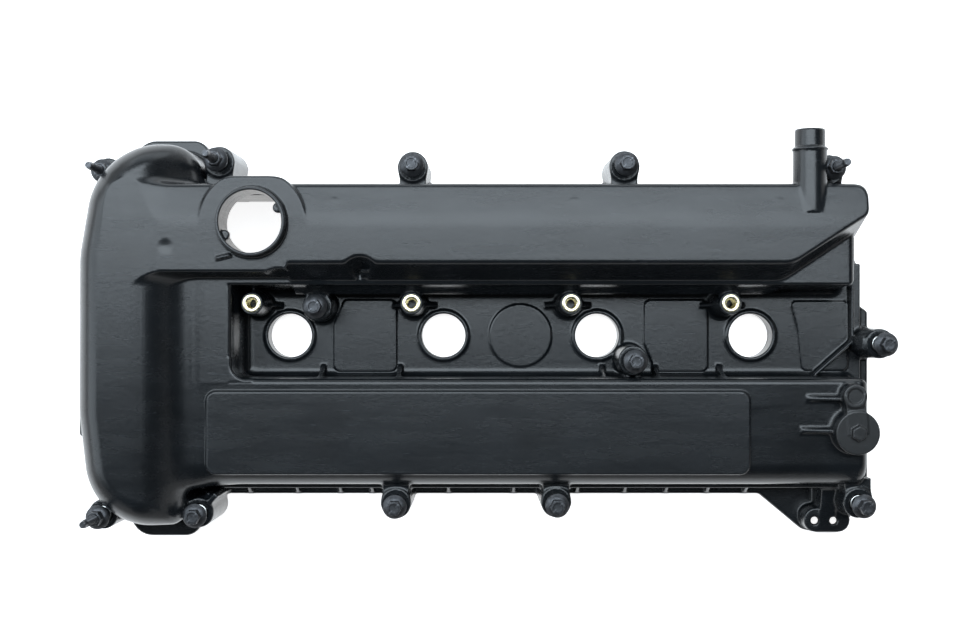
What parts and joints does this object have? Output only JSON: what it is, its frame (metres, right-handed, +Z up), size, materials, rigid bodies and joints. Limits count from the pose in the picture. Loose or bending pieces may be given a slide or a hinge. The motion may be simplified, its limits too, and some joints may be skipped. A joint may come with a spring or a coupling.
{
  "type": "engine camshaft cover",
  "caption": "Black moulded camshaft cover of a twin-cam in-line engine, with a spark-plug trough, raised breather box, oil filler neck, breather spigot and captive bolts.",
  "frame": {"origin": "the middle of the whole part in plan, on the plane that the rim gasket lies on", "axes": "+X along the row of cylinders, from the timing end to the rear; +Y from the exhaust side to the intake side; +Z up, away from the cylinder head"},
  "size_m": [0.506, 0.2496, 0.0885],
  "materials": {
    "cover_nylon": "glass-filled nylon, moulded satin black",
    "baffle_nylon": "moulded matt black",
    "plug_plastic": "smooth satin black",
    "seal_rubber": "moulded rubber",
    "zinc_steel": "zinc plated",
    "brass": "turned brass",
    "black_steel": "black zinc-coated steel",
    "retainer_nylon": "natural nylon"
  },
  "bodies": {
    "cover_assembly": {"cover": "cover_nylon", "perimeter_gasket": "seal_rubber", "breather_baffle": "baffle_nylon", "sensor_port_insert": "brass", "plug_well_seal_1": "seal_rubber", "coil_insert_1": "brass", "plug_well_seal_2": "seal_rubber", "coil_insert_2": "brass", "plug_well_seal_3": "seal_rubber", "coil_insert_3": "brass", "plug_well_seal_4": "seal_rubber", "coil_insert_4": "brass", "baffle_screw_1": "zinc_steel", "baffle_screw_2": "zinc_steel", "baffle_screw_3": "zinc_steel", "baffle_screw_4": "zinc_steel", "baffle_screw_5": "zinc_steel", "baffle_screw_6": "zinc_steel", "bolt_sleeve_1": "zinc_steel", "bolt_sleeve_2": "zinc_steel", "bolt_sleeve_3": "zinc_steel", "bolt_sleeve_4": "zinc_steel", "bolt_sleeve_5": "zinc_steel", "bolt_sleeve_6": "zinc_steel", "bolt_sleeve_7": "zinc_steel", "bolt_sleeve_8": "zinc_steel", "bolt_sleeve_9": "zinc_steel", "bolt_sleeve_10": "zinc_steel", "bolt_sleeve_11": "zinc_steel", "bolt_sleeve_12": "zinc_steel", "bolt_sleeve_13": "zinc_steel"},
    "sensor_port_plug": {"sensor_port_plug": "plug_plastic"},
    "stud_bolt_1_carrier": {"bolt_retainer_1": "retainer_nylon"},
    "stud_bolt_1": {"stud_bolt_1": "black_steel"},
    "bolt_2_carrier": {"bolt_retainer_2": "retainer_nylon"},
    "bolt_2": {"bolt_2": "black_steel"},
    "bolt_3_carrier": {"bolt_retainer_3": "retainer_nylon"},
    "bolt_3": {"bolt_3": "black_steel"},
    "stud_bolt_4_carrier": {"bolt_retainer_4": "retainer_nylon"},
    "stud_bolt_4": {"stud_bolt_4": "black_steel"},
    "bolt_5_carrier": {"bolt_retainer_5": "retainer_nylon"},
    "bolt_5": {"bolt_5": "black_steel"},
    "bolt_6_carrier": {"bolt_retainer_6": "retainer_nylon"},
    "bolt_6": {"bolt_6": "black_steel"},
    "bolt_7_carrier": {"bolt_retainer_7": "retainer_nylon"},
    "bolt_7": {"bolt_7": "black_steel"},
    "bolt_8_carrier": {"bolt_retainer_8": "retainer_nylon"},
    "bolt_8": {"bolt_8": "black_steel"},
    "bolt_9_carrier": {"bolt_retainer_9": "retainer_nylon"},
    "bolt_9": {"bolt_9": "black_steel"},
    "stud_bolt_10_carrier": {"bolt_retainer_10": "retainer_nylon"},
    "stud_bolt_10": {"stud_bolt_10": "black_steel"},
    "stud_bolt_11_carrier": {"bolt_retainer_11": "retainer_nylon"},
    "stud_bolt_11": {"stud_bolt_11": "black_steel"},
    "bolt_12_carrier": {"bolt_retainer_12": "retainer_nylon"},
    "bolt_12": {"bolt_12": "black_steel"},
    "bolt_13_carrier": {"bolt_retainer_13": "retainer_nylon"},
    "bolt_13": {"bolt_13": "black_steel"}
  },
  "joints": [
    {"name": "sensor_port_plug_lift", "type": "slide", "parent": "cover_assembly", "child": "sensor_port_plug", "axis": [0, 0, 1], "range_m": [0, 0.025]},
    {"name": "stud_bolt_1_travel", "type": "slide", "parent": "cover_assembly", "child": "stud_bolt_1_carrier", "axis": [0, 0, 1], "range_m": [-0.01, 0]},
    {"name": "stud_bolt_1_spin", "type": "hinge", "parent": "stud_bolt_1_carrier", "child": "stud_bolt_1", "pos_m": [-0.15565, 0.1073, 0.0308], "axis": [0, 0, 1], "continuous": true},
    {"name": "bolt_2_travel", "type": "slide", "parent": "cover_assembly", "child": "bolt_2_carrier", "axis": [0, 0, 1], "range_m": [-0.01, 0]},
    {"name": "bolt_2_spin", "type": "hinge", "parent": "bolt_2_carrier", "child": "bolt_2", "pos_m": [-0.03885, 0.1042, 0.0308], "axis": [0, 0, 1], "continuous": true},
    {"name": "bolt_3_travel", "type": "slide", "parent": "cover_assembly", "child": "bolt_3_carrier", "axis": [0, 0, 1], "range_m": [-0.01, 0]},
    {"name": "bolt_3_spin", "type": "hinge", "parent": "bolt_3_carrier", "child": "bolt_3", "pos_m": [0.08905, 0.1047, 0.0308], "axis": [0, 0, 1], "continuous": true},
    {"name": "stud_bolt_4_travel", "type": "slide", "parent": "cover_assembly", "child": "stud_bolt_4_carrier", "axis": [0, 0, 1], "range_m": [-0.01, 0]},
    {"name": "stud_bolt_4_spin", "type": "hinge", "parent": "stud_bolt_4_carrier", "child": "stud_bolt_4", "pos_m": [0.21245, 0.1023, 0.0308], "axis": [0, 0, 1], "continuous": true},
    {"name": "bolt_5_travel", "type": "slide", "parent": "cover_assembly", "child": "bolt_5_carrier", "axis": [0, 0, 1], "range_m": [-0.01, 0]},
    {"name": "bolt_5_spin", "type": "hinge", "parent": "bolt_5_carrier", "child": "bolt_5", "pos_m": [0.24345, -0.0028, 0.0308], "axis": [0, 0, 1], "continuous": true},
    {"name": "bolt_6_travel", "type": "slide", "parent": "cover_assembly", "child": "bolt_6_carrier", "axis": [0, 0, 1], "range_m": [-0.01, 0]},
    {"name": "bolt_6_spin", "type": "hinge", "parent": "bolt_6_carrier", "child": "bolt_6", "pos_m": [0.23035, -0.0992, 0.0308], "axis": [0, 0, 1], "continuous": true},
    {"name": "bolt_7_travel", "type": "slide", "parent": "cover_assembly", "child": "bolt_7_carrier", "axis": [0, 0, 1], "range_m": [-0.01, 0]},
    {"name": "bolt_7_spin", "type": "hinge", "parent": "bolt_7_carrier", "child": "bolt_7", "pos_m": [0.04775, -0.0988, 0.0308], "axis": [0, 0, 1], "continuous": true},
    {"name": "bolt_8_travel", "type": "slide", "parent": "cover_assembly", "child": "bolt_8_carrier", "axis": [0, 0, 1], "range_m": [-0.01, 0]},
    {"name": "bolt_8_spin", "type": "hinge", "parent": "bolt_8_carrier", "child": "bolt_8", "pos_m": [-0.04905, -0.0995, 0.0308], "axis": [0, 0, 1], "continuous": true},
    {"name": "bolt_9_travel", "type": "slide", "parent": "cover_assembly", "child": "bolt_9_carrier", "axis": [0, 0, 1], "range_m": [-0.01, 0]},
    {"name": "bolt_9_spin", "type": "hinge", "parent": "bolt_9_carrier", "child": "bolt_9", "pos_m": [-0.16815, -0.1048, 0.0308], "axis": [0, 0, 1], "continuous": true},
    {"name": "stud_bolt_10_travel", "type": "slide", "parent": "cover_assembly", "child": "stud_bolt_10_carrier", "axis": [0, 0, 1], "range_m": [-0.01, 0]},
    {"name": "stud_bolt_10_spin", "type": "hinge", "parent": "stud_bolt_10_carrier", "child": "stud_bolt_10", "pos_m": [-0.22585, -0.1057, 0.0308], "axis": [0, 0, 1], "continuous": true},
    {"name": "stud_bolt_11_travel", "type": "slide", "parent": "cover_assembly", "child": "stud_bolt_11_carrier", "axis": [0, 0, 1], "range_m": [-0.01, 0]},
    {"name": "stud_bolt_11_spin", "type": "hinge", "parent": "stud_bolt_11_carrier", "child": "stud_bolt_11", "pos_m": [-0.22905, 0.103, 0.0308], "axis": [0, 0, 1], "continuous": true},
    {"name": "bolt_12_travel", "type": "slide", "parent": "cover_assembly", "child": "bolt_12_carrier", "axis": [0, 0, 1], "range_m": [-0.01, 0]},
    {"name": "bolt_12_spin", "type": "hinge", "parent": "bolt_12_carrier", "child": "bolt_12", "pos_m": [-0.09655, 0.0197, 0.0308], "axis": [0, 0, 1], "continuous": true},
    {"name": "bolt_13_travel", "type": "slide", "parent": "cover_assembly", "child": "bolt_13_carrier", "axis": [0, 0, 1], "range_m": [-0.01, 0]},
    {"name": "bolt_13_spin", "type": "hinge", "parent": "bolt_13_carrier", "child": "bolt_13", "pos_m": [0.09435, -0.0129, 0.0308], "axis": [0, 0, 1], "continuous": true}
  ]
}
